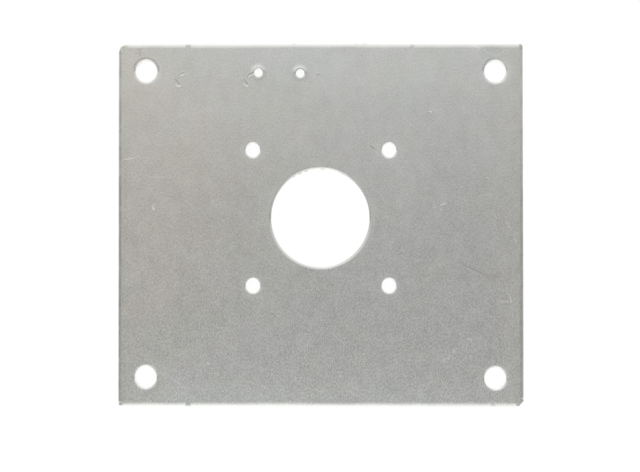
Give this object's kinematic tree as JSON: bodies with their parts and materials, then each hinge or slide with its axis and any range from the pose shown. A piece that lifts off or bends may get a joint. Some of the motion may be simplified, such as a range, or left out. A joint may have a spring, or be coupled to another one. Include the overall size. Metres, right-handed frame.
{
  "type": "motor mounting bracket",
  "caption": "Flat rectangular sheet-metal plate with a round motor bore, motor screw holes in a square around it, corner fixing holes and small switch holes near one edge.",
  "frame": {"origin": "on the motor axis, in the plane of the back face", "axes": "+Z out of the front face along the motor axis, +X along the longer side, +Y towards the side with the switch holes"},
  "size_m": [0.0928, 0.0831, 0.003],
  "materials": {
    "sheet_aluminium": "mill finish, matt with a fine rolled grain, lightly dented and scratched"
  },
  "bodies": {
    "root": {"mounting_plate": "sheet_aluminium"}
  },
  "joints": []
}
